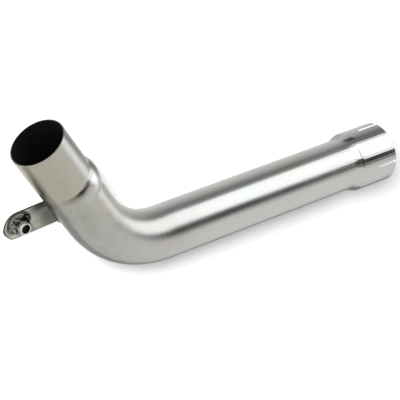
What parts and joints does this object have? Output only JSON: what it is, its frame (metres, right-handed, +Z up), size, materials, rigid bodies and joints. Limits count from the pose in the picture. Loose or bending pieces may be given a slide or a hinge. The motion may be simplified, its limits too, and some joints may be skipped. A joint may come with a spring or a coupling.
{
  "type": "motorcycle decat pipe",
  "caption": "Bent steel link pipe for a motorcycle exhaust, with a sized inlet neck, a slotted slip socket and a hanger tab that carries a captive nut.",
  "frame": {"origin": "centre of the outlet socket's mouth", "axes": "+X out of the outlet socket along the main run, the centreline in the plane z = 0 with the inlet neck on the +Y side, and +Z up as the pipe lies on its side"},
  "size_m": [0.4266, 0.1713, 0.0584],
  "materials": {
    "tube_steel": "brushed round the tube, lightly soiled",
    "tab_steel": "satin, soiled toward the weld",
    "weld_metal": "dull weld bead",
    "nut_steel": "plain bright steel",
    "burnt_weld": "burnt black tack weld"
  },
  "bodies": {
    "root": {"exhaust_tube": "tube_steel", "hanger_tab": "tab_steel", "tab_weld": "weld_metal", "flange_nut": "nut_steel", "nut_tacks": "burnt_weld"}
  },
  "joints": []
}
